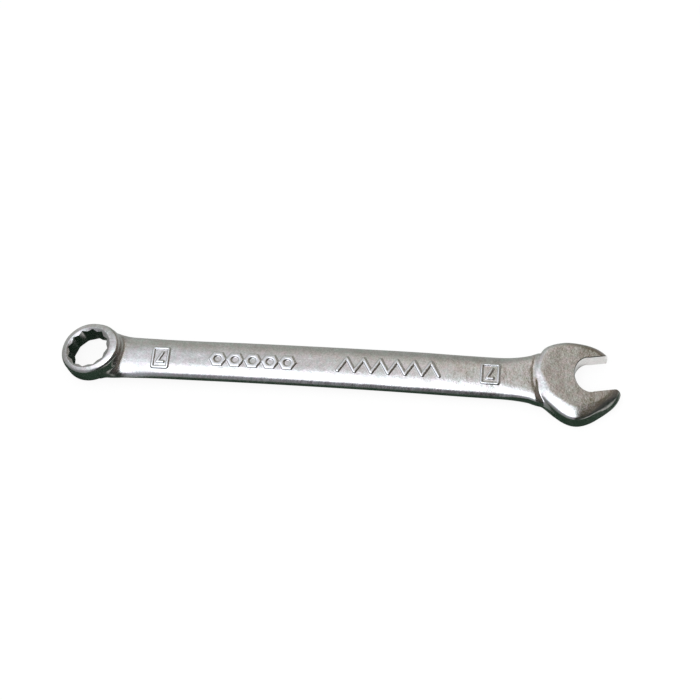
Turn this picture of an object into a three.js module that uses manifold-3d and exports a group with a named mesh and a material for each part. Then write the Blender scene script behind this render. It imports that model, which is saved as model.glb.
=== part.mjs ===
// Combination wrench, 7 mm: one steel forging with an open end and a 12-point ring end.
// Millimetres, +Z up. The shank lies along X, the ring end towards -X, the open end towards +X.
// The wrench lies flat; the origin is under its middle, at the height of its lowest edge.
//
// While it is being shaped, the shank's mid plane is z = 0 and x = 0 is close to the ring's
// bore centre. The finished body is then shifted to the origin named above.

import * as THREE from "three";
import { mergeVertices } from "three/addons/utils/BufferGeometryUtils.js";
import Module from "manifold-3d";

const { degToRad, lerp } = THREE.MathUtils;
const QUARTER_TURN = Math.PI / 2;

// ---------------------------------------------------------------- dimensions
const NUT_SIZE = 7.0; // across the flats
const CLEARANCE = 0.1; // the openings are this much wider than the nut
const HALF_OPENING = (NUT_SIZE + CLEARANCE) / 2;

// Ring end. In the ring's own frame the bore runs along Z and its centre is the origin.
const RING_TILT = 12; // degrees: the ring plane dips towards its free end
const RING_CENTRE = [-0.12, 0.28, 0.31];
const RING_OUTER_RADIUS = 5.42;
const RING_THICKNESS = 4.2;
const RING_TOP = RING_THICKNESS / 2; // the upper face, in the ring's frame
const RING_EDGE_TOP = 0.7; // rounding radius of the upper outer edge
const RING_EDGE_BOTTOM = 1.25; // the lower one is fuller
const RING_EDGE_STEPS = 5;
const RING_SEGMENTS = 72;

// Twelve-point bore through the ring
const BORE_POINTS = 12;
const BORE_TURN = -5.3; // degrees: how the points are turned about the bore
const BORE_CUT_LENGTH = 12;

// Lead-in chamfers at both mouths of the bore
const CHAMFER_MOUTH_RADIUS = 4.36;
const CHAMFER_INNER_RADIUS = 3.63; // at their depth, just within the bore's inner corners
const CHAMFER_DEPTH_TOP = 0.28;
const CHAMFER_DEPTH_BOTTOM = 0.85;
const CHAMFER_OVERCUT = 1; // how far the cutters stand out of the ring's faces

// Round shoulder of the ring towards the shank, in the ring's frame
const SHOULDER_X = 1.6;
const SHOULDER_Y = -0.45;
const SHOULDER_RADIUS = 4.68;
const SHOULDER_BOTTOM = -0.3;
const SHOULDER_DROP = 0.12; // its face sits this far below the ring's
const SHOULDER_EDGE = 0.45; // rounding radius
const SHOULDER_EDGE_STEPS = 4;
const SHOULDER_SEGMENTS = 60;

// Sections of the shank: x, half width, half thickness, mid height, centre's y
const SHANK_STATIONS = [
  [2.6, 4.7, 1.9, 0.45, 0.05],
  [4.0, 4.76, 1.72, 0.28, 0.05],
  [5.3, 4.55, 1.5, 0.06, 0.04],
  [6.9, 4.32, 1.34, -0.08, 0.0],
  [8.7, 4.25, 1.33, -0.05, -0.04],
  [11.2, 4.19, 1.38, 0, -0.07],
  [14.5, 4.12, 1.4, 0, -0.08],
  [20, 4.1, 1.39, 0, -0.03],
  [28, 4.13, 1.38, 0, 0.08],
  [40, 4.18, 1.37, 0, 0.15],
  [52, 4.23, 1.36, 0, 0.15],
  [62, 4.28, 1.36, 0, 0.08],
  [70, 4.27, 1.36, 0, -0.07],
  [77.5, 4.28, 1.35, 0, -0.14],
  [80.5, 4.38, 1.34, 0, -0.08],
  [82.3, 4.65, 1.32, 0, 0.02],
  [83.8, 5.15, 1.3, 0, 0.1],
  [85.4, 5.8, 1.28, 0, 0.12],
  [87.5, 6.0, 1.25, 0, 0.12],
];
const SHANK_SQUARENESS = 3.2; // section exponent: 2 is an ellipse, larger is squarer
const SHANK_CROWDING = 0.55; // how far the steps crowd to the ends: 0 is even, 1 is a cosine
const SHANK_SEGMENTS = 40;
const SHANK_STEPS = 44;

// Open end
const HEAD_THICKNESS = 3.1;
const HEAD_EDGE_HEIGHT = 0.5; // rounded outer edge, measured along Z
const HEAD_EDGE_WIDTH = 1.6; // and measured inwards
const HEAD_EDGE_STEPS = 4;
const HEAD_OUTLINE_STEPS = 88;

// Outline of the open end before the jaw is cut: x, y, anticlockwise from above
const HEAD_OUTLINE = [
  [83.98, 4.4], [83.6, 2.4], [83.62, 0.4], [83.9, -1.5], [84.5, -3.4], [85.5, -5.1],
  [86.95, -6.6], [88.45, -7.8], [90.0, -8.6], [91.5, -8.88], [92.95, -8.64],
  [94.4, -7.98], [95.8, -7.02], [97.25, -5.95], [98.6, -4.65], [99.4, -3.15],
  [99.68, -1.6], [99.5, 0.2], [98.95, 2.0], [98.1, 3.7], [96.95, 5.15], [95.9, 6.08],
  [94.9, 6.68], [93.6, 7.18], [92.1, 7.5], [90.6, 7.68], [89.1, 7.68], [87.6, 7.38],
  [86.2, 6.86], [84.9, 5.98],
];

// Jaw opening. In the jaw's own frame X runs out of the mouth, from an origin near the throat.
const JAW_ANGLE = 10; // degrees between the jaw's axis and the shank
const JAW_ORIGIN = [90.94, 0.49, 0];
const JAW_CUT_REACH = 14; // beyond the jaw tips
const JAW_CUT_HEIGHT = 10;
const THROAT_X = 2.95; // centre of the throat, which is half an ellipse
const THROAT_DEPTH = 2.85;
const THROAT_HALF_HEIGHT = 3.62; // a little over half the opening, to relieve the nut's corners
const THROAT_STEPS = 26;
const JAW_FACE_START = THROAT_X + 0.35;
const LOWER_TIP_X = 6.75; // where the rounded corner of the longer, -Y jaw starts
const LOWER_TIP_RADIUS = 1.75;
const LOWER_TIP_STEPS = 8;

// Rectangular size frames raised on the shank's upper face
const FRAME_CENTRES_X = [13.4, 75.5];
const FRAME_Y = -0.35;
const FRAME_LENGTH = 3.3; // along X
const FRAME_WIDTH = 4.4; // along Y
const FRAME_LINE = 0.42; // width of the border
const FRAME_RISE = 0.1;
const FRAME_ROOT = 0.6; // how deep the border reaches into the shank

// ---------------------------------------------------------------- helpers
const wasm = await Module();
wasm.setup();

function solid(geometry) {
  // Only positions may decide which vertices merge
  geometry.deleteAttribute("normal");
  geometry.deleteAttribute("uv");
  const merged = mergeVertices(geometry, 1e-5);
  // Triangles that fold onto themselves when vertices merge are dropped
  const corners = merged.index.array;
  const kept = [];
  for (let i = 0; i < corners.length; i += 3) {
    const [a, b, c] = corners.subarray(i, i + 3);
    if (a !== b && b !== c && a !== c) kept.push(a, b, c);
  }
  return new wasm.Manifold(
    new wasm.Mesh({
      numProp: 3,
      vertProperties: new Float32Array(merged.attributes.position.array),
      triVerts: new Uint32Array(kept),
    }),
  );
}

function geometryOf(body) {
  const mesh = body.getMesh();
  const positions = new Float32Array(mesh.numVert * 3);
  for (let i = 0; i < mesh.numVert; i++) {
    const start = i * mesh.numProp;
    positions.set(mesh.vertProperties.subarray(start, start + 3), i * 3);
  }
  const geometry = new THREE.BufferGeometry();
  geometry.setAttribute("position", new THREE.BufferAttribute(positions, 3));
  geometry.setIndex(new THREE.BufferAttribute(new Uint32Array(mesh.triVerts), 1));
  geometry.computeVertexNormals();
  return geometry;
}

// Points along an elliptical arc, both ends included
function arc([centreX, centreY], [radiusX, radiusY], start, sweep, steps) {
  return Array.from({ length: steps + 1 }, (_, i) => {
    const angle = start + (i / steps) * sweep;
    return [centreX + radiusX * Math.cos(angle), centreY + radiusY * Math.sin(angle)];
  });
}

const toVectors = (points) => points.map(([x, y]) => new THREE.Vector2(x, y));

// A straight prism along Z, centred on z = 0
function prism(outline, height) {
  const shape = new THREE.Shape(toVectors(outline));
  shape.closePath();
  const geometry = new THREE.ExtrudeGeometry(shape, { depth: height, bevelEnabled: false });
  return geometry.translate(0, 0, -height / 2);
}

// A turned body about Z from a profile of radius, z
function lathe(profile, segments) {
  return new THREE.LatheGeometry(toVectors(profile), segments).rotateX(QUARTER_TURN);
}

// ---------------------------------------------------------------- shank
// The shank's section at x: half width, half thickness, mid height, centre's y.
// Cubic between stations, its slopes taken from the neighbouring stations.
function sectionAt(x) {
  const last = SHANK_STATIONS.length - 1;
  let i = 0;
  while (i < last - 1 && x > SHANK_STATIONS[i + 1][0]) i++;
  const before = SHANK_STATIONS[Math.max(i - 1, 0)];
  const from = SHANK_STATIONS[i];
  const to = SHANK_STATIONS[i + 1];
  const after = SHANK_STATIONS[Math.min(i + 2, last)];

  const span = to[0] - from[0];
  const t = Math.min(1, Math.max(0, (x - from[0]) / span));
  const t2 = t * t;
  const t3 = t2 * t;
  return [1, 2, 3, 4].map((column) => {
    const slopeFrom = (to[column] - before[column]) / (to[0] - before[0]);
    const slopeTo = (after[column] - from[column]) / (after[0] - from[0]);
    return (2 * t3 - 3 * t2 + 1) * from[column] + (t3 - 2 * t2 + t) * span * slopeFrom
      + (3 * t2 - 2 * t3) * to[column] + (t3 - t2) * span * slopeTo;
  });
}

// Bends the cosine or sine of a circle towards a squarer section
function squared(ratio) {
  return Math.sign(ratio) * Math.pow(Math.abs(ratio), 2 / SHANK_SQUARENESS);
}

// A cylinder along X whose sections are reshaped into rounded bars
function shank() {
  const startX = SHANK_STATIONS[0][0];
  const endX = SHANK_STATIONS.at(-1)[0];
  const geometry = new THREE.CylinderGeometry(1, 1, 1, SHANK_SEGMENTS, SHANK_STEPS, false);
  geometry.rotateZ(-QUARTER_TURN); // axis along +X
  geometry.rotateX(Math.PI / SHANK_SEGMENTS); // half a facet
  const position = geometry.attributes.position;
  for (let i = 0; i < position.count; i++) {
    // Sections crowd towards both ends, where the shape changes quickly
    const even = position.getX(i) + 0.5;
    const crowded = 0.5 - 0.5 * Math.cos(Math.PI * even);
    const x = lerp(startX, endX, lerp(even, crowded, SHANK_CROWDING));
    const [halfWidth, halfThickness, midHeight, centreY] = sectionAt(x);

    const y = position.getY(i);
    const z = position.getZ(i);
    const radius = Math.hypot(y, z);
    if (radius < 1e-9) {
      // The centre of an end cap has no direction
      position.setXYZ(i, x, centreY, midHeight);
      continue;
    }
    position.setXYZ(
      i,
      x,
      centreY + halfWidth * squared(y / radius),
      midHeight + halfThickness * squared(z / radius),
    );
  }
  return solid(geometry);
}

// ---------------------------------------------------------------- ring end
// Moves a geometry from the ring's frame to its place on the wrench
function ringSolid(geometry) {
  return solid(geometry.rotateY(degToRad(-RING_TILT)).translate(...RING_CENTRE));
}

// Profile of a rounded outer edge; it starts at -90 degrees for a lower edge, 0 for an upper one
function roundedEdge(centreRadius, centreZ, rounding, start, steps) {
  return arc([centreRadius, centreZ], [rounding, rounding], start, QUARTER_TURN, steps);
}

function ringBlank() {
  const low = RING_EDGE_BOTTOM;
  const high = RING_EDGE_TOP;
  const profile = [
    [0, -RING_TOP],
    ...roundedEdge(RING_OUTER_RADIUS - low, low - RING_TOP, low, -QUARTER_TURN, RING_EDGE_STEPS),
    ...roundedEdge(RING_OUTER_RADIUS - high, RING_TOP - high, high, 0, RING_EDGE_STEPS),
    [0, RING_TOP],
  ];
  return ringSolid(lathe(profile, RING_SEGMENTS));
}

function ringShoulder() {
  const top = RING_TOP - SHOULDER_DROP;
  const edge = SHOULDER_EDGE;
  const profile = [
    [0, SHOULDER_BOTTOM],
    [SHOULDER_RADIUS, SHOULDER_BOTTOM],
    ...roundedEdge(SHOULDER_RADIUS - edge, top - edge, edge, 0, SHOULDER_EDGE_STEPS),
    [0, top],
  ];
  return ringSolid(lathe(profile, SHOULDER_SEGMENTS).translate(SHOULDER_X, SHOULDER_Y, 0));
}

// The outline of two hexagons of the same size, turned 30 degrees to each other
function ringBore() {
  const innerRadius = HALF_OPENING / Math.cos(Math.PI / 12);
  const outerRadius = HALF_OPENING / Math.cos(Math.PI / 6);
  const outline = [];
  for (let i = 0; i < 2 * BORE_POINTS; i++) {
    const angle = (i * Math.PI) / BORE_POINTS + degToRad(BORE_TURN);
    const radius = i % 2 ? innerRadius : outerRadius;
    outline.push([radius * Math.cos(angle), radius * Math.sin(angle)]);
  }
  return ringSolid(prism(outline, BORE_CUT_LENGTH));
}

// Side is 1 for the upper mouth and -1 for the lower
function ringChamfer(side, depth) {
  const profile = [
    [0, RING_TOP - depth],
    [CHAMFER_INNER_RADIUS, RING_TOP - depth],
    [CHAMFER_MOUTH_RADIUS, RING_TOP],
    [CHAMFER_MOUTH_RADIUS, RING_TOP + CHAMFER_OVERCUT],
    [0, RING_TOP + CHAMFER_OVERCUT],
  ].map(([radius, z]) => [radius, side * z]);
  // A lathe profile has to run upwards for its faces to point outwards
  if (side < 0) profile.reverse();
  return ringSolid(lathe(profile, RING_SEGMENTS));
}

// ---------------------------------------------------------------- open end
function headBlank() {
  const controls = HEAD_OUTLINE.map(([x, y]) => new THREE.Vector3(x, y, 0));
  const curve = new THREE.CatmullRomCurve3(controls, true, "centripetal");
  // The last point of the closed curve repeats the first
  const points = curve.getSpacedPoints(HEAD_OUTLINE_STEPS).slice(0, -1);
  const shape = new THREE.Shape(points.map(({ x, y }) => new THREE.Vector2(x, y)));
  const straightHeight = HEAD_THICKNESS - 2 * HEAD_EDGE_HEIGHT;
  const geometry = new THREE.ExtrudeGeometry(shape, {
    depth: straightHeight,
    bevelEnabled: true,
    bevelThickness: HEAD_EDGE_HEIGHT,
    bevelSize: HEAD_EDGE_WIDTH,
    bevelOffset: -HEAD_EDGE_WIDTH,
    bevelSegments: HEAD_EDGE_STEPS,
  });
  return solid(geometry.translate(0, 0, -straightHeight / 2));
}

// Two parallel faces, an elliptical throat, and a rounded mouth on the longer jaw
function jawCut() {
  const throatRadii = [THROAT_DEPTH, THROAT_HALF_HEIGHT];
  const tipY = -HALF_OPENING - LOWER_TIP_RADIUS;
  const tipRadii = [LOWER_TIP_RADIUS, LOWER_TIP_RADIUS];
  const outline = [
    [JAW_CUT_REACH, HALF_OPENING],
    [JAW_FACE_START, HALF_OPENING],
    ...arc([THROAT_X, 0], throatRadii, QUARTER_TURN, Math.PI, THROAT_STEPS),
    [JAW_FACE_START, -HALF_OPENING],
    ...arc([LOWER_TIP_X, tipY], tipRadii, QUARTER_TURN, -QUARTER_TURN, LOWER_TIP_STEPS),
    [JAW_CUT_REACH, tipY],
  ];
  const geometry = prism(outline, JAW_CUT_HEIGHT);
  return solid(geometry.rotateZ(degToRad(JAW_ANGLE)).translate(...JAW_ORIGIN));
}

// ---------------------------------------------------------------- size frames
function sizeFrame(centreX) {
  const [, halfThickness] = sectionAt(centreX);
  const height = FRAME_ROOT + FRAME_RISE;
  const midZ = halfThickness + FRAME_RISE - height / 2;
  const offsetX = (FRAME_LENGTH - FRAME_LINE) / 2;
  const offsetY = (FRAME_WIDTH - FRAME_LINE) / 2;
  // Offset along x and y, size along x and y
  const bars = [
    [-offsetX, 0, FRAME_LINE, FRAME_WIDTH],
    [offsetX, 0, FRAME_LINE, FRAME_WIDTH],
    [0, -offsetY, FRAME_LENGTH, FRAME_LINE],
    [0, offsetY, FRAME_LENGTH, FRAME_LINE],
  ];
  return bars
    .map(([x, y, sizeX, sizeY]) => {
      const box = new THREE.BoxGeometry(sizeX, sizeY, height);
      return solid(box.translate(centreX + x, FRAME_Y + y, midZ));
    })
    .reduce((frame, bar) => frame.add(bar));
}

// ---------------------------------------------------------------- the wrench
function forging() {
  const raised = [ringBlank(), ringShoulder(), headBlank(), ...FRAME_CENTRES_X.map(sizeFrame)];
  const cuts = [
    ringBore(),
    ringChamfer(1, CHAMFER_DEPTH_TOP),
    ringChamfer(-1, CHAMFER_DEPTH_BOTTOM),
    jawCut(),
  ];
  const blank = raised.reduce((body, piece) => body.add(piece), shank());
  return cuts.reduce((body, cut) => body.subtract(cut), blank);
}

function satinMetal() {
  const material = new THREE.MeshStandardMaterial({
    color: 0xa7a196,
    roughness: 0.32,
    metalness: 1.0,
  });
  material.name = "satin_nickel_chrome";
  return material;
}

const geometry = geometryOf(forging());
geometry.computeBoundingBox();
const { min, max } = geometry.boundingBox;
geometry.translate(-(min.x + max.x) / 2, -(min.y + max.y) / 2, -min.z);

const wrench = new THREE.Mesh(geometry, satinMetal());
wrench.name = "forged_wrench_body";

const part = new THREE.Group();
part.name = "combination_wrench_7mm";
part.add(wrench);

export default part;
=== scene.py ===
import math

import bmesh
import bpy
import numpy as np
from mathutils import Matrix


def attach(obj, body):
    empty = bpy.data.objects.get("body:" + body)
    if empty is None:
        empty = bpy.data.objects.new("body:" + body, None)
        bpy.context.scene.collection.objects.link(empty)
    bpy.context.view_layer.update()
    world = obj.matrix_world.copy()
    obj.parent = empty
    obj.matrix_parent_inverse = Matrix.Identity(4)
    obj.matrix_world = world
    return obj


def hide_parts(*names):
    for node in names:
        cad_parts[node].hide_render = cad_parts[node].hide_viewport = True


# A slim 7 mm combination wrench, forged in one piece and satin plated. It lies along X, with the
# ring at -X, the open end at +X and the raised marks facing +Z; the camera looks from -Y, the near
# side. Shapes are worked out in millimetres with the ring near x = 0 and the shank's mid plane at
# z = 0, then moved by SHIFT and stored in metres.

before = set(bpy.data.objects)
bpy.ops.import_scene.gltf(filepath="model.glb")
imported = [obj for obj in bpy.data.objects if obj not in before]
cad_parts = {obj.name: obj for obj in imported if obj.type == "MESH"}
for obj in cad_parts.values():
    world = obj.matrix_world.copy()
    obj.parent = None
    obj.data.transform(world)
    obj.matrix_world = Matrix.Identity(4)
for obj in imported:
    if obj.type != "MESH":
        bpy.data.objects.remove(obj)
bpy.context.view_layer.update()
NODE = "forged_wrench_body"
SHIFT = np.array([-46.94952, 0.5867, 2.63157])
MM = 0.001

# ------------------------------------------------------------------ main dimensions, mm
AF = 7.1  # size across flats of both openings
RING_TILT = math.radians(12)
RING_X, RING_Y, RING_Z = -0.12, 0.28, 0.31
RING_R, RING_H = 5.40, 4.2 / 2  # radius and half height
RING_EDGE_TOP, RING_EDGE_BOTTOM = 0.5, 1.25  # roundings of the rim
CROWN_R = 4.2  # the ring's upper face falls away outside this radius
BORE_TURN = math.radians(-5.3)
BORE_EASE = 0.07
HEAD_H = 3.1 / 2  # half height of the open end
HEAD_BEVEL = 0.2
JAW_ANGLE = math.radians(10)
JAW_X, JAW_Y = 90.94, 0.49
JAW_EDGE = 0.13
THROAT_DEPTH, THROAT_HALF, THROAT_U = 2.85, 3.62, 2.95
TIP_R, TIP_U = 1.75, 6.75
PARTING_WIDTH = 0.2

# Sections of the shank: x, half width, half thickness, mid height, centre's y
STATIONS = np.array([
    [2.6, 4.7, 1.84, 0.36, 0.05],
    [4.0, 4.76, 1.62, 0.18, 0.05],
    [5.3, 4.53, 1.32, -0.12, 0.04],
    [6.9, 4.30, 1.22, -0.21, 0.0],
    [8.7, 4.23, 1.24, -0.15, -0.04],
    [11.2, 4.17, 1.35, -0.03, -0.07],
    [14.5, 4.10, 1.41, 0.01, -0.08],
    [20, 4.08, 1.40, 0, -0.03],
    [28, 4.11, 1.39, 0, 0.08],
    [40, 4.16, 1.37, 0, 0.15],
    [52, 4.21, 1.36, 0, 0.15],
    [62, 4.26, 1.36, 0, 0.08],
    [70, 4.25, 1.36, 0, -0.07],
    [77.5, 4.26, 1.35, 0, -0.14],
    [80.5, 4.36, 1.35, 0.0, -0.08],
    [82.6, 4.68, 1.355, 0.0, 0.02],
    [83.5, 5.00, 1.35, 0.0, 0.07],
    [84.1, 5.22, 1.335, -0.015, 0.1],
    [85.4, 5.45, 1.16, -0.15, 0.12],
    [87.5, 5.5, 1.0, -0.2, 0.12],
])
# The open end's outline before the jaw is cut: x, y of a closed spline's points
HEAD_OUTLINE = [
    [83.98, 4.4], [83.6, 2.4], [83.62, 0.4], [83.9, -1.5], [84.5, -3.4], [85.5, -5.1],
    [86.95, -6.6], [88.45, -7.8], [90.0, -8.6], [91.5, -8.88], [92.95, -8.64],
    [94.4, -7.98], [95.8, -7.02], [97.25, -5.95], [98.6, -4.65], [99.4, -3.15],
    [99.68, -1.6], [99.5, 0.2], [98.95, 2.0], [98.1, 3.7], [96.95, 5.15], [95.9, 6.08],
    [94.9, 6.68], [93.6, 7.18], [92.1, 7.5], [90.6, 7.68], [89.1, 7.68], [87.6, 7.38],
    [86.2, 6.86], [84.9, 5.98],
]


# ------------------------------------------------------------------ curves and distances
def smoothstep(start, end, value):
    t = np.clip((value - start) / (end - start), 0, 1)
    return t * t * (3 - 2 * t)


def smooth_min(a, b, reach):
    h = np.clip(reach - np.abs(a - b), 0, None) / reach
    return np.minimum(a, b) - h * h * reach * 0.25


def corner_distance(a, b):
    """Distance to the corner between two faces, given the distance to each."""
    outside = np.sqrt(np.clip(a, 0, None) ** 2 + np.clip(b, 0, None) ** 2)
    return outside + np.minimum(np.maximum(a, b), 0)


def segment_distance(x, y, start, end):
    (ax, ay), (bx, by) = start, end
    dx, dy = bx - ax, by - ay
    t = np.clip(((x - ax) * dx + (y - ay) * dy) / (dx * dx + dy * dy), 0, 1)
    return np.sqrt((x - ax - t * dx) ** 2 + (y - ay - t * dy) ** 2)


def station_value(x, column):
    """A column of the station table at x, by a cubic Hermite curve."""
    xs, v = STATIONS[:, 0], STATIONS[:, column]
    slope = np.empty(len(xs))
    slope[1:-1] = (v[2:] - v[:-2]) / (xs[2:] - xs[:-2])
    slope[0] = (v[1] - v[0]) / (xs[1] - xs[0])
    slope[-1] = (v[-1] - v[-2]) / (xs[-1] - xs[-2])
    clamped = np.clip(x, xs[0], xs[-1])
    i = np.clip(np.searchsorted(xs, clamped, side="right") - 1, 0, len(xs) - 2)
    span = xs[i + 1] - xs[i]
    t = (clamped - xs[i]) / span
    t2, t3 = t * t, t * t * t
    return ((2 * t3 - 3 * t2 + 1) * v[i] + (t3 - 2 * t2 + t) * span * slope[i]
            + (-2 * t3 + 3 * t2) * v[i + 1] + (t3 - t2) * span * slope[i + 1])


def closed_spline(points, per_span):
    p = np.array(points, float)
    n = len(p)
    out = []
    for i in range(n):
        p0, p1, p2, p3 = p[i - 1], p[i], p[(i + 1) % n], p[(i + 2) % n]
        for k in range(per_span):
            t = k / per_span
            out.append(0.5 * (2 * p1 + (p2 - p0) * t + (2 * p0 - 5 * p1 + 4 * p2 - p3) * t * t
                              + (3 * p1 - p0 - 3 * p2 + p3) * t ** 3))
    return np.array(out)


# The head outline's signed distance is kept as a table over x and y
TABLE_X0, TABLE_Y0, TABLE_STEP = 78.0, -13.0, 0.1
TABLE_NX, TABLE_NY = 260, 250


def head_table():
    outline = closed_spline(HEAD_OUTLINE, 8)
    x, y = np.meshgrid(TABLE_X0 + TABLE_STEP * np.arange(TABLE_NX),
                       TABLE_Y0 + TABLE_STEP * np.arange(TABLE_NY), indexing="ij")
    nearest = np.full(x.shape, 1e9)
    inside = np.zeros(x.shape, bool)
    for start, end in zip(outline, np.roll(outline, -1, 0)):
        nearest = np.minimum(nearest, segment_distance(x, y, start, end))
        (ax, ay), (bx, by) = start, end
        if ay != by:
            inside ^= ((ay > y) != (by > y)) & (x < (bx - ax) * (y - ay) / (by - ay) + ax)
    return np.where(inside, -nearest, nearest)


HEAD_TABLE = head_table()


def head_distance(x, y):
    u = np.clip((x - TABLE_X0) / TABLE_STEP, 0, TABLE_NX - 1.001)
    v = np.clip((y - TABLE_Y0) / TABLE_STEP, 0, TABLE_NY - 1.001)
    i, j = u.astype(int), v.astype(int)
    fu, fv = u - i, v - j
    d = HEAD_TABLE
    return (d[i, j] * (1 - fu) * (1 - fv) + d[i + 1, j] * fu * (1 - fv)
            + d[i, j + 1] * (1 - fu) * fv + d[i + 1, j + 1] * fu * fv)


# ------------------------------------------------------------------ raised marks on the shank, mm
RELIEF_H = 0.16
MARK_WALL = 0.1  # the run of a mark's side wall
MARK_CROWN = 0.34  # the run over which a mark's top rises
FRAMES = [(13.45, -0.5, 1.43, 2.0), (75.45, -0.02, 1.58, 1.95)]  # centre x, y, half sizes
FRAME_ROUND, FRAME_HALF_LINE = 0.22, 0.25
# The size figure's strokes from the frame's centre; it reads from the far side of the shank
FIGURE, FIGURE_HALF_LINE = [(0.56, -0.9), (-0.56, -0.9), (0.34, 1.0)], 0.27
NUTS = [(24.3 + 3.3 * i, -0.12) for i in range(5)]
NUT_HALF_FLATS, NUT_HOLE_R = 1.46, 0.66
ZIGZAG = [(47.0 + i * 1.58, 0.25 + (1.36 if i % 2 else -1.36)) for i in range(13)]
ZIGZAG_HALF_LINE = 0.34


def stroke_distance(x, y, points, half_line):
    parts = [segment_distance(x, y, a, b) for a, b in zip(points, points[1:])]
    return np.minimum.reduce(parts) - half_line


def frame_distance(x, y, cx, cy, half_x, half_y):
    box = corner_distance(np.abs(x - cx) - half_x + FRAME_ROUND,
                          np.abs(y - cy) - half_y + FRAME_ROUND) - FRAME_ROUND
    return np.abs(box) - FRAME_HALF_LINE


def nut_distance(x, y, cx, cy):
    """A hexagon with a round hole and its points up and down the shank."""
    px, py = np.abs(x - cx), np.abs(y - cy)
    hexagon = np.maximum(py, px * 0.8660254 + py * 0.5) - NUT_HALF_FLATS
    return np.maximum(hexagon, NUT_HOLE_R - np.sqrt((x - cx) ** 2 + (y - cy) ** 2))


def mark_distance(x, y):
    """Signed distance to two size frames, a row of hexagon nuts and a zigzag."""
    d = np.full(np.broadcast(x, y).shape, 9.0)
    for cx, cy, half_x, half_y in FRAMES:
        d = np.minimum(d, frame_distance(x, y, cx, cy, half_x, half_y))
        figure = [(cx + px, cy + py) for px, py in FIGURE]
        d = np.minimum(d, stroke_distance(x, y, figure, FIGURE_HALF_LINE))
    for cx, cy in NUTS:
        d = np.minimum(d, nut_distance(x, y, cx, cy))
    return np.minimum(d, stroke_distance(x, y, ZIGZAG, ZIGZAG_HALF_LINE))


def wall_share(distance):
    """0 outside a mark, 1 inside it, rising straight across its side wall."""
    return np.clip(0.5 - distance / MARK_WALL, 0, 1)


def relief(x, y):
    d = mark_distance(x, y)
    wall = wall_share(d)
    wall = wall * wall * (3 - 2 * wall)
    crown = np.clip(-d / MARK_CROWN, 0, 1)
    return RELIEF_H * wall * (0.7 + 0.3 * crown * (2 - crown))


# ------------------------------------------------------------------ the forging as an implicit solid
# Each field is negative inside. Lengths are in mm; near is -Y, far is +Y.
def parting_line(height, rise):
    return rise * np.exp(-(height / PARTING_WIDTH) ** 2)


def to_ring_frame(x, y, z):
    c, s = math.cos(RING_TILT), math.sin(RING_TILT)
    dx, dz = x - RING_X, z - RING_Z
    return dx * c + dz * s, y - RING_Y, -dx * s + dz * c


def shank_field(x, y, z):
    """A rounded bar through the stations, squarer towards the head, softer at the ring's neck."""
    half_width, half_thick, mid_z, mid_y = (station_value(x, column) for column in (1, 2, 3, 4))
    near_head = smoothstep(77.0, 84.0, x)
    neck = np.clip((17.0 - x) / 9.0, 0, 1)
    side_power = 3.1 + 2.2 * near_head - 0.4 * neck
    face_power = 2.3 + 2.2 * near_head - 0.25 * neck
    across = np.abs(y - mid_y) / half_width
    up = (z - mid_z) / half_thick
    reach = (across ** side_power + np.abs(up) ** face_power) ** (1 / face_power)
    f = (reach - 1) * half_thick - parting_line(z - mid_z, rise=0.035)
    upper_side = np.clip((up - 0.3) / 0.3, 0, 1)
    f = f - relief(x, y) * upper_side
    return np.maximum(f, np.maximum(2.6 - x, x - 87.2))  # ends inside the ring and the head


def head_field(x, y, z):
    """A flat plate with a shallow bevel, widest at the near left, above upright walls."""
    # the outline drawn in a little, more on the near side and at the far left
    d = (head_distance(x, y) + 0.03 + 0.13 * smoothstep(-2.0, -5.0, y)
         + 0.2 * smoothstep(86.0, 84.2, x) * smoothstep(-2.5, 0.0, y))
    bevel_width = (1.0 + 1.3 * smoothstep(2.0, -2.0, y)
                   - 0.6 * smoothstep(92.0, 96.0, x) * smoothstep(2.4, -2.6, y))
    # on the near side the wall leans in above the parting plane
    lean = (0.75 * smoothstep(-2.5, -6.0, y)
            + 0.35 * smoothstep(94.0, 98.0, x) * smoothstep(-0.5, -3.0, y))
    d = d + lean * np.clip(z / HEAD_H, 0, 1) ** 1.2
    s = np.clip(1 + d / bevel_width, 0, 1.3)
    # the lower bevel is 0.3 as deep
    face = HEAD_H - HEAD_BEVEL * bevel_width * s * s * np.where(z > 0, 1.0, 0.3)
    wall = d + 0.05 * (z / HEAD_H) ** 2 - parting_line(z, rise=0.03)
    rim = 0.3 + 0.7 * smoothstep(94.5, 98.5, x) * smoothstep(0.0, -3.0, y)
    return -smooth_min(-wall, face - np.abs(z), rim)


def ring_field(x, y, z):
    """A round plate, its upper face crowned and drawn out towards the shank."""
    along, across, up = to_ring_frame(x, y, z)
    along_out = along / (1 + 0.165 * smoothstep(0.0, 3.6, along) * smoothstep(-0.8, 0.8, up))
    # fall of the upper face at the rim: less on the shank's side and far side, more near
    drop = (0.3 - 0.12 * smoothstep(0.5, 3.5, along_out * 1.0 if False else along)
            * smoothstep(-2.0, 1.0, across)
            - 0.1 * smoothstep(0.5, 3.0, across) + 0.06 * smoothstep(-1.0, -4.0, across))
    radius = np.sqrt(along_out * along_out + across * across)
    edge = np.where(up > 0, RING_EDGE_TOP, RING_EDGE_BOTTOM)
    outward = np.clip((radius - CROWN_R) / (RING_R - CROWN_R), 0, 1.1)
    half_height = RING_H - np.where(up > 0, drop * outward ** 1.35, 0)
    side = (radius - (RING_R - edge)) / edge
    face = (np.abs(up) - (half_height - edge)) / edge
    return (corner_distance(side, face) - 1) * edge - parting_line(up, rise=0.02)


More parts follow.
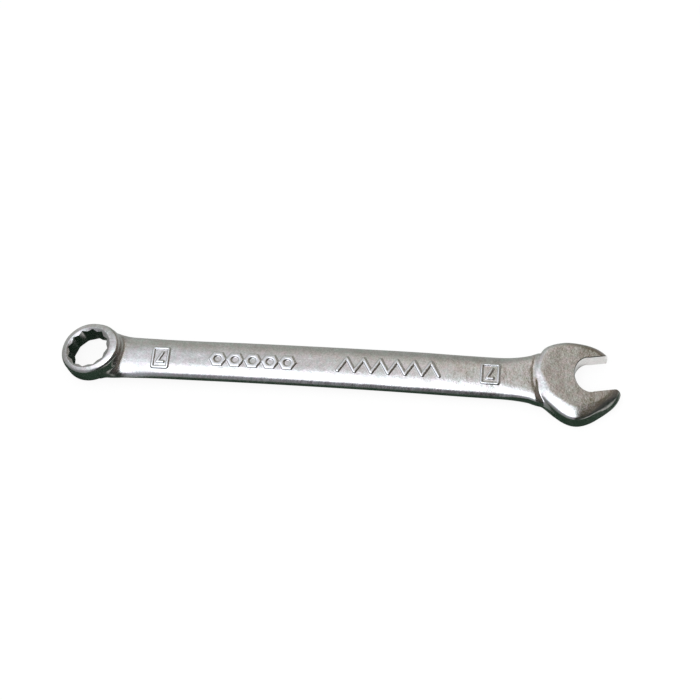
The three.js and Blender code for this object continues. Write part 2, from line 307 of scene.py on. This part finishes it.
def body_field(x, y, z, part="all"):
    """The whole forging; part leaves out an end too far away to matter."""
    f = shank_field(x, y, z)
    if part in ("all", "ring"):
        # a softer meeting on the far upper side
        blend = 0.85 + 0.5 * smoothstep(-2.0, 2.5, y) * smoothstep(0.3, 1.5, z)
        f = smooth_min(f, ring_field(x, y, z), blend)
        # the ring is faced flat below and above
        along, across, up = to_ring_frame(x, y, z)
        radius = np.sqrt(along * along + across * across)
        for face_radius, beyond in ((RING_R + 0.1, up + RING_H), (4.5, RING_H - up)):
            f = np.maximum(f, -np.maximum(radius - face_radius, beyond))
    if part in ("all", "head"):
        f = smooth_min(f, head_field(x, y, z), 0.2 + 0.5 * smoothstep(0.9, -0.2, z))
        # a faint valley along the foot of the head
        valley = 0.022 * np.exp(-((head_distance(x, y) - 0.3) / 0.28) ** 2)
        f = f + valley * smoothstep(0.7, 1.1, z) * smoothstep(-4.5, -2.0, y)
    return f


# ------------------------------------------------------------------ meshing the forging
FINE = 0.09
# Grid spans along each axis: from, to, step
X_SPANS = [(-6.2, 8.0, 0.15), (8.0, 11.3, 0.3), (11.3, 15.6, FINE), (15.6, 22.4, 0.38),
           (22.4, 39.2, FINE), (39.2, 46.3, 0.38), (46.3, 66.6, FINE), (66.6, 73.4, 0.38),
           (73.4, 77.7, FINE), (77.7, 83.0, 0.24), (83.0, 100.2, 0.16)]
Y_SPANS = [(-9.5, -4.7, 0.16), (-4.7, -2.75, 0.125), (-2.75, 2.25, FINE), (2.25, 4.7, 0.125),
           (4.7, 8.3, 0.16)]
Z_SPANS = [(-3.4, -1.9, 0.16), (-1.9, 1.9, 0.105), (1.9, 4.2, 0.16)]
SLAB = 64  # grid planes worked out at a time
CORNERS = [(i, j, k) for i in (0, 1) for j in (0, 1) for k in (0, 1)]


def axis_points(spans):
    out = [spans[0][0]]
    for a, b, step in spans:
        n = max(1, int(round((b - a) / step)))
        out += list(a + (b - a) * (np.arange(n) + 1) / n)
    return np.array(out)


def sample_field(xs, ys, zs):
    field = np.empty((len(xs), len(ys), len(zs)), np.float32)
    for start in range(0, len(xs), SLAB):
        x = xs[start:start + SLAB][:, None, None]
        if x.max() < 16:
            part = "ring"
        elif x.min() > 78:
            part = "head"
        elif x.min() > 16 and x.max() < 78:
            part = "shank"
        else:
            part = "all"
        field[start:start + SLAB] = body_field(x, ys[None, :, None], zs[None, None, :], part)
    return field


def surface_nets(axes, field):
    """One vertex in each cell the surface crosses, one quad across each crossed grid edge."""
    inside = field < 0
    count = np.zeros([n - 1 for n in field.shape], np.int8)
    for corner in CORNERS:
        count += inside[tuple(slice(c, n - 1 + c) for c, n in zip(corner, field.shape))]
    cells = np.argwhere((count > 0) & (count < 8))
    ids = np.full(count.shape, -1, np.int32)
    ids[tuple(cells.T)] = np.arange(len(cells))

    value = {c: field[tuple((cells + c).T)].astype(float) for c in CORNERS}
    place = {c: np.stack([axes[k][cells[:, k] + c[k]] for k in range(3)], 1) for c in CORNERS}
    total = np.zeros((len(cells), 3))
    crossings = np.zeros(len(cells))
    for a in CORNERS:
        for axis in range(3):
            if a[axis]:
                continue
            b = a[:axis] + (1,) + a[axis + 1:]
            crossed = (value[a] < 0) != (value[b] < 0)
            t = np.where(crossed, value[a] / np.where(crossed, value[a] - value[b], 1), 0)
            point = place[a] + (place[b] - place[a]) * t[:, None]
            total += np.where(crossed[:, None], point, 0)
            crossings += crossed

    quads = []
    for axis in range(3):
        change = np.diff(inside.astype(np.int8), axis=axis)
        edges = np.argwhere(change)
        ring = []
        for back_1, back_2 in ((1, 1), (0, 1), (0, 0), (1, 0)):
            cell = edges.copy()
            cell[:, (axis + 1) % 3] -= back_1
            cell[:, (axis + 2) % 3] -= back_2
            ring.append(ids[tuple(cell.T)])
        quad = np.stack(ring, 1)
        flip = change[tuple(edges.T)] > 0
        quad[flip] = quad[flip][:, ::-1]
        quads.append(quad)
    return total / crossings[:, None], np.concatenate(quads)


def settle(verts):
    """Moves each vertex onto the surface, by at most 0.06 mm a pass."""
    reach = 0.01
    for _ in range(2):
        slope = np.stack([body_field(*(verts + push).T) - body_field(*(verts - push).T)
                          for push in reach * np.eye(3)], 1) / (2 * reach)
        steepness = np.maximum((slope * slope).sum(1), 0.05)
        step = body_field(*verts.T)[:, None] * slope / steepness[:, None]
        length = np.linalg.norm(step, axis=1)
        step *= np.minimum(1, 0.06 / np.maximum(length, 1e-9))[:, None]
        verts = verts - step
    return verts


def build_body():
    axes = [axis_points(spans) for spans in (X_SPANS, Y_SPANS, Z_SPANS)]
    verts, quads = surface_nets(axes, sample_field(*axes))
    return settle(verts), quads


# ------------------------------------------------------------------ cutters for the openings
# Chamfer profiles, lowest level first: radius, height in the ring's frame
CHAMFER_R = 4.38
UPPER_CHAMFER = [(3.64, RING_H - 0.28), (CHAMFER_R - 0.22, RING_H - 0.085),
                 (CHAMFER_R - 0.08, RING_H - 0.035), (CHAMFER_R + 0.06, RING_H - 0.008),
                 (CHAMFER_R + 0.2, RING_H + 0.01), (CHAMFER_R + 0.2, RING_H + 1.2)]
LOWER_CHAMFER = [(CHAMFER_R + 0.2, -RING_H - 1.2), (CHAMFER_R + 0.2, -RING_H - 0.01),
                 (CHAMFER_R + 0.14, -RING_H + 0.01), (CHAMFER_R + 0.02, -RING_H + 0.1),
                 (3.61, -RING_H + 0.85)]


def prism(levels):
    """A closed solid from (n, 3) rings of equal length, lowest first."""
    n = len(levels[0])
    faces = []
    for k in range(len(levels) - 1):
        for i in range(n):
            j = (i + 1) % n
            faces.append((k * n + i, k * n + j, (k + 1) * n + j, (k + 1) * n + i))
    faces.append(tuple(range(n))[::-1])
    top = (len(levels) - 1) * n
    faces.append(tuple(top + i for i in range(n)))
    return np.concatenate(levels), faces


def level(x, y, z):
    return np.column_stack([x, y, np.full(len(x), z)])


def from_ring_frame(points):
    c, s = math.cos(RING_TILT), math.sin(RING_TILT)
    along, across, up = points.T
    return np.stack([along * c - up * s + RING_X, across + RING_Y, along * s + up * c + RING_Z], 1)


def polar(radius, angle):
    return np.array([radius * math.cos(angle), radius * math.sin(angle)])


def bore_cutter():
    """Twelve points with slightly eased corners."""
    inner, outer = AF / 2 / math.cos(math.pi / 12), AF / 2 / math.cos(math.pi / 6)
    points = []
    for i in range(24):
        angle = i * math.pi / 12 + BORE_TURN
        here, beside = (inner, outer) if i % 2 else (outer, inner)
        corner = polar(here, angle)
        start, end = (
            corner + (p - corner) / np.linalg.norm(p - corner) * BORE_EASE
            for p in (polar(beside, angle - math.pi / 12), polar(beside, angle + math.pi / 12)))
        for t in (0, 0.5, 1):
            points.append((1 - t) ** 2 * start + 2 * t * (1 - t) * corner + t * t * end)
    x, y = np.array(points).T
    return prism([from_ring_frame(level(x, y, z)) for z in (-6, 6)])


def chamfer_cutter(profile):
    angle = 2 * math.pi * np.arange(160) / 160
    return prism([from_ring_frame(level(r * np.cos(angle), r * np.sin(angle), z))
                  for r, z in profile])


def jaw_outline(grow):
    """The jaw opening along +x, its near tip rounded, grown sideways by grow."""
    flat = AF / 2
    near_end = -flat - TIP_R - 1.2
    p = [(x, flat) for x in (14, 12, 10, 8, 6, 4.6, THROAT_U + 0.35)]
    for i in range(57):
        a = math.pi / 2 + math.pi * i / 56
        p.append((THROAT_U + THROAT_DEPTH * math.cos(a), THROAT_HALF * math.sin(a)))
    p += [(x, -flat) for x in (THROAT_U + 0.35, 4.6, 5.7, TIP_U)]
    for i in range(1, 15):
        a = math.pi / 2 * i / 14
        p.append((TIP_U + TIP_R * math.sin(a), -flat - TIP_R * (1 - math.cos(a))))
    p += [(TIP_U + TIP_R + 0.001, near_end), (14, near_end)]
    p = np.array(p)
    along = np.roll(p, -1, 0) - np.roll(p, 1, 0)
    normal = np.stack([along[:, 1], -along[:, 0]], 1)
    normal /= np.linalg.norm(normal, axis=1)[:, None]
    normal[[0, -1]] = 0  # the two corners beyond the head stay
    return p + normal * grow


def jaw_cutter():
    c, s = math.cos(JAW_ANGLE), math.sin(JAW_ANGLE)
    levels = []
    for z, grow in ((-3.2, JAW_EDGE), (-HEAD_H, JAW_EDGE), (-HEAD_H + JAW_EDGE, 0),
                    (HEAD_H - JAW_EDGE, 0), (HEAD_H, JAW_EDGE), (3.2, JAW_EDGE)):
        x, y = jaw_outline(grow).T
        levels.append(level(x * c - y * s + JAW_X, x * s + y * c + JAW_Y, z))
    return prism(levels)


# ------------------------------------------------------------------ the wrench
def add_object(name, data):
    ob = bpy.data.objects.new(name, data)
    bpy.context.scene.collection.objects.link(ob)
    return ob


def mesh_object(name, verts, faces):
    """Faces are an (n, 4) array for the large mesh, or a list of tuples."""
    me = bpy.data.meshes.new(name)
    v = (verts + SHIFT) * MM
    if isinstance(faces, np.ndarray):
        n = len(faces)
        me.vertices.add(len(v))
        me.vertices.foreach_set("co", v.astype(np.float32).ravel())
        me.loops.add(n * 4)
        me.polygons.add(n)
        me.loops.foreach_set("vertex_index", faces.astype(np.int32).ravel())
        me.polygons.foreach_set("loop_start", np.arange(0, n * 4, 4, dtype=np.int32))
        me.update(calc_edges=True)
    else:
        me.from_pydata([tuple(p) for p in v], [], faces)
    me.validate()
    return add_object(name, me)


def apply_modifiers(ob):
    depsgraph = bpy.context.evaluated_depsgraph_get()
    depsgraph.update()
    new = bpy.data.meshes.new_from_object(ob.evaluated_get(depsgraph))
    ob.modifiers.clear()
    old = ob.data
    ob.data = new
    bpy.data.meshes.remove(old)


def cut_openings(ob, material):
    shapes = [bore_cutter(), chamfer_cutter(UPPER_CHAMFER), chamfer_cutter(LOWER_CHAMFER),
              jaw_cutter()]
    cutters = [mesh_object("cut_%d" % i, *shape) for i, shape in enumerate(shapes)]
    for cutter in cutters:
        cutter.data.materials.append(material)
        cut = ob.modifiers.new("cut", "BOOLEAN")
        cut.operation = "DIFFERENCE"
        cut.solver = "MANIFOLD"
        cut.material_mode = "TRANSFER"
        cut.object = cutter
    bpy.context.view_layer.update()
    apply_modifiers(ob)
    for cutter in cutters:
        bpy.data.objects.remove(cutter)


def sharpen_machined_edges(me):
    bm = bmesh.new()
    bm.from_mesh(me)
    limit = math.radians(24)
    for e in bm.edges:
        if len(e.link_faces) != 2:
            e.smooth = False
            continue
        f, g = e.link_faces
        machined = f.material_index or g.material_index
        e.smooth = not machined or f.normal.angle(g.normal, 0) < limit
    bm.to_mesh(me)
    bm.free()


def vertex_places(me):
    places = np.zeros(len(me.vertices) * 3, np.float32)
    me.vertices.foreach_get("co", places)
    return places.reshape(-1, 3)


def add_raised_mask(me):
    """A wear mask for the raised marks."""
    x, y, z = (vertex_places(me).astype(float) / MM - SHIFT).T
    mask = wall_share(mark_distance(x, y))
    mask[(z < 0.8) | (x < 9) | (x > 80)] = 0
    raised = me.attributes.new("raised", "FLOAT", "POINT")
    raised.data.foreach_set("value", mask.astype(np.float32))


body = mesh_object("wrench_body", *build_body())
skin = bpy.data.materials.new("satin_nickel_chrome")
machined_skin_painted_shade = bpy.data.materials.new("satin_nickel_chrome_machined_painted_shade")
body.data.materials.append(skin)
cut_openings(body, machined_skin_painted_shade)
body.data.shade_smooth()
sharpen_machined_edges(body.data)
add_raised_mask(body.data)


# ------------------------------------------------------------------ materials
class Shader:
    """An emptied node tree and short ways to add to it."""

    def __init__(self, owner):
        owner.use_nodes = True
        self.tree = owner.node_tree
        self.tree.nodes.clear()

    def add(self, kind, inputs=None, **settings):
        """A new node; inputs maps sockets to values or to other nodes' outputs."""
        node = self.tree.nodes.new("ShaderNode" + kind)
        for name, value in settings.items():
            setattr(node, name, value)
        for socket, value in (inputs or {}).items():
            if isinstance(value, bpy.types.NodeSocket):
                self.tree.links.new(value, node.inputs[socket])
            else:
                node.inputs[socket].default_value = value
        return node

    def rescale(self, value, span, to=(0.0, 1.0), curve="LINEAR"):
        return self.add("MapRange", {
            "From Min": span[0], "From Max": span[1], "To Min": to[0], "To Max": to[1],
            "Value": value}, interpolation_type=curve).outputs[0]

    def mix(self, factor, a, b, mode="MIX"):
        return self.add("Mix", {0: factor, 6: a, 7: b}, data_type="RGBA",
                        blend_type=mode).outputs[2]

    def mix_shader(self, factor, a, b):
        return self.add("MixShader", {0: factor, 1: a, 2: b}).outputs[0]

    def emission(self, colour):
        return self.add("Emission", {0: (*colour, 1)}).outputs[0]


def metal(mat, roughness, shade):
    """Satin plating; shade scales its brightness, and a shade below 1 is painted shade."""
    s = Shader(mat)
    place = s.add("TexCoord").outputs["Object"]

    def noise(scale, detail, rough):
        return s.add("TexNoise", {"Scale": scale, "Detail": detail, "Roughness": rough,
                                  "Vector": place}).outputs[0]

    # colour: faint warm clouds, a slight tint and a salt-and-pepper grain
    clouds = noise(scale=420.0, detail=3.0, rough=0.55)
    grain = noise(scale=2600.0, detail=3.0, rough=0.7)
    tint = noise(scale=1100.0, detail=2.0, rough=0.5)
    colour = s.mix(s.rescale(clouds, span=(0.35, 0.65)),
                   a=(0.625, 0.60, 0.575, 1), b=(0.70, 0.685, 0.67, 1))
    tinting = s.mix(s.rescale(tint, span=(0.36, 0.64)),
                    a=(1.045, 0.985, 1.0, 1), b=(0.965, 1.015, 0.985, 1))
    colour = s.mix(1.0, colour, tinting, mode="MULTIPLY")
    dark, light = 0.84 * shade, 1.15 * shade
    speckle = s.mix(s.rescale(grain, span=(0.32, 0.68)),
                    a=(dark, dark, dark, 1), b=(light, light, light, 1))
    colour = s.mix(1.0, colour, speckle, mode="MULTIPLY")
    # edges polished by handling, and the tops of the raised marks
    pointiness = s.add("NewGeometry").outputs["Pointiness"]
    raised = s.add("Attribute", attribute_name="raised").outputs["Fac"]
    worn = s.add("Math", {0: s.rescale(pointiness, span=(0.53, 0.62), to=(0.0, 0.8)),
                          1: s.rescale(raised, span=(0.3, 1.0), to=(0.0, 0.75))},
                 operation="MAXIMUM").outputs[0]
    colour = s.mix(worn, a=colour, b=(0.84, 0.84, 0.84, 1))
    # roughness: blasted satin with smoother patches
    patches = noise(scale=900.0, detail=3.0, rough=0.6)
    rough = s.rescale(patches, span=(0.3, 0.7), to=roughness)
    # bumps: blasted grain over soft forging waves, calmer at the open end; distances in metres
    fine = noise(scale=5200.0, detail=2.0, rough=0.6)
    middle = noise(scale=1700.0, detail=2.0, rough=0.55)
    wave = noise(scale=300.0, detail=2.0, rough=0.5)
    along = s.add("SeparateXYZ", {0: place}).outputs[0]
    calm = s.rescale(along, span=(0.032, 0.039), to=(1.0, 0.6))
    below = {}
    for height, distance, strength in ((fine, 0.000007, 1.0), (middle, 0.000016, calm),
                                       (wave, 0.00006, calm)):
        bump = s.add("Bump", {"Strength": strength, "Distance": distance, "Height": height,
                              **below})
        below = {"Normal": bump.outputs[0]}
    surface = s.add("BsdfPrincipled", {"Metallic": 1.0, "Base Color": colour,
                                       "Roughness": rough, **below})
    s.add("OutputMaterial", {0: surface.outputs[0]})


metal(skin, roughness=(0.12, 0.21), shade=1.0)
# the machined faces are rougher; their colour, darkened to 0.66, is painted shade on the bore and
# jaw walls
metal(machined_skin_painted_shade, roughness=(0.18, 0.26), shade=0.66)
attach(body, "root")
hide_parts(NODE)

# the hidden CAD solid carries the same finish
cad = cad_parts[NODE]
cad.data.materials.clear()
cad.data.materials.append(skin)

# ------------------------------------------------------------------ bench, m
BENCH_HALF = 3.0
BENCH_GAP = 0.00003
# Painted reflections the metal sees on the bench: a glowing bright patch in the jaw, a dark one
# under the ring as painted shade on the bore walls, with a small painted pale spot there. Centre,
# radii where the spot starts and is full, colour.
PAINTED_REFLECTION_SPOTS = [
    ((0.0490, 0.0020, 0.0), (0.0052, 0.0038), (1.15, 1.15, 1.15)),
    ((-0.0470, 0.0009, 0.0), (0.0075, 0.0055), (0.008, 0.022, 0.013)),
    ((-0.0438, 0.0044, 0.0), (0.0026, 0.0014), (0.80, 0.81, 0.81)),
]


def bench_plane():
    """Slope and level of the plane that touches the ring's lowest edge and the open end."""
    places = vertex_places(body.data)
    left = places[places[:, 0] < -0.04]
    right = places[places[:, 0] > 0.03]
    slope = 0.0
    for _ in range(20):
        a = left[np.argmin(left[:, 2] - slope * left[:, 0])]
        b = right[np.argmin(right[:, 2] - slope * right[:, 0])]
        slope = float((b[2] - a[2]) / (b[0] - a[0]))
    return slope, float(a[2] - slope * a[0]) - BENCH_GAP


def bench_material():
    mat = bpy.data.materials.new("bench_pale_with_painted_reflection")
    s = Shader(mat)
    pale = s.add("BsdfDiffuse", {0: (0.93, 0.93, 0.93, 1)}).outputs[0]
    seen = s.mix_shader(0.88, pale, s.emission((1.0, 1.0, 1.0)))
    # painted reflection: to reflected rays alone the bench glows dark on the near side and lighter
    # beyond
    geometry = s.add("NewGeometry")
    incoming_y = s.add("SeparateXYZ", {0: geometry.outputs["Incoming"]}).outputs[1]
    mirrored = s.mix_shader(s.rescale(incoming_y, span=(0.05, -0.45), curve="SMOOTHSTEP"),
                            s.emission((0.024, 0.049, 0.033)), s.emission((0.40, 0.42, 0.41)))
    for centre, radii, colour in PAINTED_REFLECTION_SPOTS:
        away = s.add("VectorMath", {0: geometry.outputs["Position"], 1: centre},
                     operation="DISTANCE").outputs["Value"]
        mirrored = s.mix_shader(s.rescale(away, span=radii, curve="SMOOTHSTEP"),
                                mirrored, s.emission(colour))
    glossy = s.add("LightPath").outputs["Is Glossy Ray"]
    s.add("OutputMaterial", {0: s.mix_shader(glossy, seen, mirrored)})
    return mat


slope, middle_z = bench_plane()
bench_mesh = bpy.data.meshes.new("bench")
bench_mesh.from_pydata(
    [(x * BENCH_HALF, y * BENCH_HALF, middle_z + x * slope * BENCH_HALF)
     for x, y in ((-1, -1), (1, -1), (1, 1), (-1, 1))], [], [(0, 1, 2, 3)])
bench = add_object("bench", bench_mesh)
bench_mesh.materials.append(bench_material())

# ------------------------------------------------------------------ world: a soft tent of light
# One long soft box hangs overhead and to the left; the far side of the tent is pale, the near side
# and the right are dim. Each entry is the share of the ray's direction along X, then the colours
# over the arc in degrees, from the far horizon (0) through the zenith (90) to the near one (180).
PEAK = 3.0  # the ramps store colours as a share of this
TENT = [
    (-0.85, [(0, (0.42, 0.45, 0.44)), (70, (0.42, 0.43, 0.45)), (110, (0.26, 0.27, 0.29)),
             (180, (0.18, 0.20, 0.19))]),
    (-0.52, [(0, (0.52, 0.55, 0.54)), (20, (0.62, 0.64, 0.64)), (38, (0.52, 0.53, 0.53)),
             (52, (0.60, 0.61, 0.63)), (62, (1.05, 1.10, 1.20)), (84, (1.20, 1.25, 1.36)),
             (98, (0.90, 0.94, 1.02)), (112, (0.38, 0.39, 0.44)), (145, (0.31, 0.33, 0.35)),
             (180, (0.22, 0.25, 0.24))]),
    (-0.25, [(0, (0.45, 0.50, 0.48)), (38, (0.47, 0.49, 0.47)), (50, (0.58, 0.60, 0.62)),
             (58, (0.75, 0.78, 0.85)), (66, (1.12, 1.17, 1.28)), (74, (1.80, 1.90, 2.10)),
             (92, (2.20, 2.35, 2.60)), (110, (1.80, 1.90, 2.10)), (119, (0.75, 0.78, 0.90)),
             (128, (0.40, 0.42, 0.50)), (150, (0.34, 0.36, 0.40)), (170, (0.28, 0.31, 0.32)),
             (180, (0.18, 0.21, 0.20))]),
    (-0.14, [(0, (0.42, 0.46, 0.44)), (38, (0.44, 0.46, 0.44)), (50, (0.55, 0.55, 0.54)),
             (58, (0.62, 0.64, 0.69)), (66, (0.82, 0.84, 0.92)), (74, (1.80, 1.90, 2.10)),
             (92, (2.40, 2.55, 2.80)), (110, (2.00, 2.10, 2.30)), (118, (0.70, 0.72, 0.82)),
             (127, (0.30, 0.31, 0.36)), (150, (0.30, 0.31, 0.34)), (170, (0.22, 0.24, 0.25)),
             (180, (0.12, 0.15, 0.14))]),
    (-0.02, [(0, (0.36, 0.39, 0.38)), (35, (0.38, 0.40, 0.39)), (46, (0.58, 0.58, 0.56)),
             (58, (0.98, 0.95, 0.92)), (66, (0.95, 0.97, 1.00)), (74, (1.80, 1.90, 2.10)),
             (92, (2.50, 2.65, 2.90)), (110, (2.10, 2.20, 2.40)), (115, (0.65, 0.67, 0.75)),
             (121, (0.08, 0.08, 0.09)), (140, (0.03, 0.03, 0.03)), (180, (0.02, 0.04, 0.03))]),
    (0.02, [(0, (0.32, 0.34, 0.33)), (35, (0.32, 0.32, 0.29)), (48, (0.35, 0.31, 0.24)),
            (66, (0.38, 0.335, 0.25)), (74, (0.85, 0.84, 0.80)), (92, (1.40, 1.45, 1.55)),
            (108, (1.10, 1.15, 1.20)), (118, (0.06, 0.06, 0.06)), (140, (0.02, 0.025, 0.02)),
            (180, (0.02, 0.04, 0.03))]),
    (0.055, [(0, (0.29, 0.31, 0.30)), (35, (0.22, 0.21, 0.18)), (50, (0.12, 0.10, 0.055)),
             (70, (0.09, 0.07, 0.03)), (100, (0.04, 0.035, 0.02)), (140, (0.015, 0.02, 0.015)),
             (180, (0.02, 0.04, 0.028))]),
    (0.26, [(0, (0.32, 0.34, 0.33)), (50, (0.27, 0.26, 0.24)), (75, (0.17, 0.15, 0.13)),
            (100, (0.06, 0.06, 0.05)), (140, (0.03, 0.04, 0.035)), (180, (0.02, 0.04, 0.03))]),
    (0.6, [(0, (0.44, 0.46, 0.45)), (60, (0.15, 0.13, 0.12)), (85, (0.12, 0.11, 0.10)),
           (108, (0.06, 0.06, 0.06)), (143, (0.02, 0.03, 0.025)), (156, (0.36, 0.38, 0.37)),
           (168, (0.46, 0.48, 0.47)), (180, (0.34, 0.36, 0.35))]),
]


def arc_ramp(s, arc, stops):
    node = s.add("ValToRGB", {0: arc})
    ramp = node.color_ramp
    ramp.interpolation = "EASE"
    while len(ramp.elements) > 1:
        ramp.elements.remove(ramp.elements[-1])
    for degrees, (r, g, b) in stops:
        stop = ramp.elements.new(degrees / 180) if degrees else ramp.elements[0]
        stop.color = (r / PEAK, g / PEAK, b / PEAK, 1)
    return node.outputs[0]


def build_world():
    world = bpy.data.worlds.new("studio")
    bpy.context.scene.world = world
    s = Shader(world)
    x, y, z = s.add("SeparateXYZ", {0: s.add("TexCoord").outputs["Generated"]}).outputs
    angle = s.add("Math", {0: z, 1: y}, operation="ARCTAN2").outputs[0]
    arc = s.add("Math", {0: angle, 1: math.pi}, operation="DIVIDE", use_clamp=True).outputs[0]
    tent = arc_ramp(s, arc, TENT[0][1])
    for (x0, _), (x1, stops) in zip(TENT, TENT[1:]):
        tent = s.mix(s.rescale(x, span=(x0, x1)), tent, arc_ramp(s, arc, stops))
    mirrored = s.add("Background", {"Color": tent, "Strength": PEAK}).outputs[0]
    plain = s.add("Background", {"Color": (1.0, 1.0, 1.0, 1), "Strength": 0.97}).outputs[0]
    glossy = s.add("LightPath").outputs["Is Glossy Ray"]
    s.add("OutputWorld", {0: s.mix_shader(glossy, plain, mirrored)})


build_world()

# one broad lamp above the near left, for a soft shadow under the wrench
lamp = bpy.data.lights.new("key", "AREA")
lamp.shape = "RECTANGLE"
lamp.size, lamp.size_y = 0.5, 0.35
lamp.energy = 1.2
key = add_object("key", lamp)
key.location = (-0.12, -0.18, 0.5)
key.rotation_euler = (-key.location).to_track_quat("-Z", "Y").to_euler()
key.visible_glossy = False

# ------------------------------------------------------------------ camera, above the near side
CAMERA_TURNS = (-0.5194, -0.0537, -0.0947)  # radians about x, y, z
CAMERA_OFFSET = np.array([2.1359, 5.4782, 377.0322])  # from the target, along its own axes, mm
CAMERA_TARGET = np.array([0.00508, 0.0, -0.32813])  # mm
LENS = 102.8571429


def rotation(axis, angle):
    """A turn about axis 0, 1 or 2."""
    i, j = (axis + 1) % 3, (axis + 2) % 3
    turn = np.eye(3)
    turn[i, i] = turn[j, j] = math.cos(angle)
    turn[j, i] = math.sin(angle)
    turn[i, j] = -turn[j, i]
    return turn


turn_x, turn_y, turn_z = (rotation(i, angle) for i, angle in enumerate(CAMERA_TURNS))
camera_axes = (turn_x @ turn_y @ turn_z).T
camera_place = (camera_axes @ CAMERA_OFFSET + CAMERA_TARGET) * MM
camera_data = bpy.data.cameras.new("camera")
camera_data.sensor_fit = "HORIZONTAL"
camera_data.sensor_width = 36.0
camera_data.lens = LENS
camera_data.clip_start = 0.01
camera = add_object("camera", camera_data)
camera.matrix_world = Matrix([*([*row, p] for row, p in zip(camera_axes, camera_place)),
                              [0, 0, 0, 1]])
bpy.context.scene.camera = camera

view = bpy.context.scene.view_settings
view.view_transform = "Standard"
view.look = "None"
view.exposure = 0.0
view.gamma = 1.0
